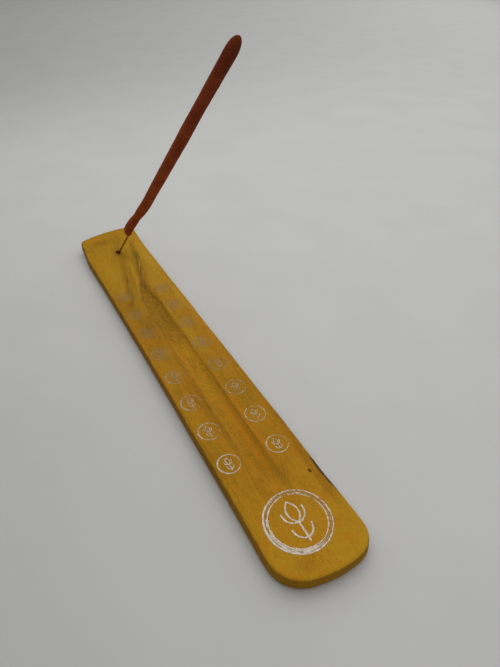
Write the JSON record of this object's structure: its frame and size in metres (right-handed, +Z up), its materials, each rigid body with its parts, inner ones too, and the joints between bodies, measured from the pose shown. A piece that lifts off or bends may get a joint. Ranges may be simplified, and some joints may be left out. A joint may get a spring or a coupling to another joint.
{
  "type": "incense burner",
  "caption": "Flat wooden incense burner: a long ash tray with a shallow trough, printed foil marks and a slanted hole in its upturned end that holds a leaning incense stick.",
  "frame": {"origin": "middle of the flat underside, below the middle of the tray's length and width", "axes": "+Z up, +Y along the tray towards its upturned, drilled end, +X across the tray to the right as seen from the blunt end"},
  "size_m": [0.038, 0.259, 0.1442],
  "materials": {
    "stained_wood": "mustard-yellow stain under a thin satin lacquer, with fine grain",
    "bamboo": "plain bamboo splint, slightly tinted",
    "incense_paste": "dry matte hand-rolled paste of wood powder, dark red-brown",
    "foil": "worn hot-stamped silver foil"
  },
  "bodies": {
    "tray": {"tray_board": "stained_wood", "medallion_outer_ring": "foil", "medallion_inner_ring": "foil", "medallion_motif": "foil", "emblem_foil_left_1": "foil", "emblem_foil_left_2": "foil", "emblem_foil_left_3": "foil", "emblem_foil_left_4": "foil", "emblem_foil_left_5": "foil", "emblem_foil_left_6": "foil", "emblem_foil_left_7": "foil", "emblem_foil_left_8": "foil", "emblem_foil_right_1": "foil", "emblem_foil_right_2": "foil", "emblem_foil_right_3": "foil", "emblem_foil_right_4": "foil", "emblem_foil_right_5": "foil", "emblem_foil_right_6": "foil", "emblem_foil_right_7": "foil", "emblem_foil_right_8": "foil"},
    "stick": {"bamboo_core": "bamboo", "incense_coating": "incense_paste"}
  },
  "joints": [
    {"name": "stick_pull", "type": "slide", "parent": "tray", "child": "stick", "axis": [0.0442, -0.7168, 0.6959], "range_m": [0, 0.03]}
  ]
}
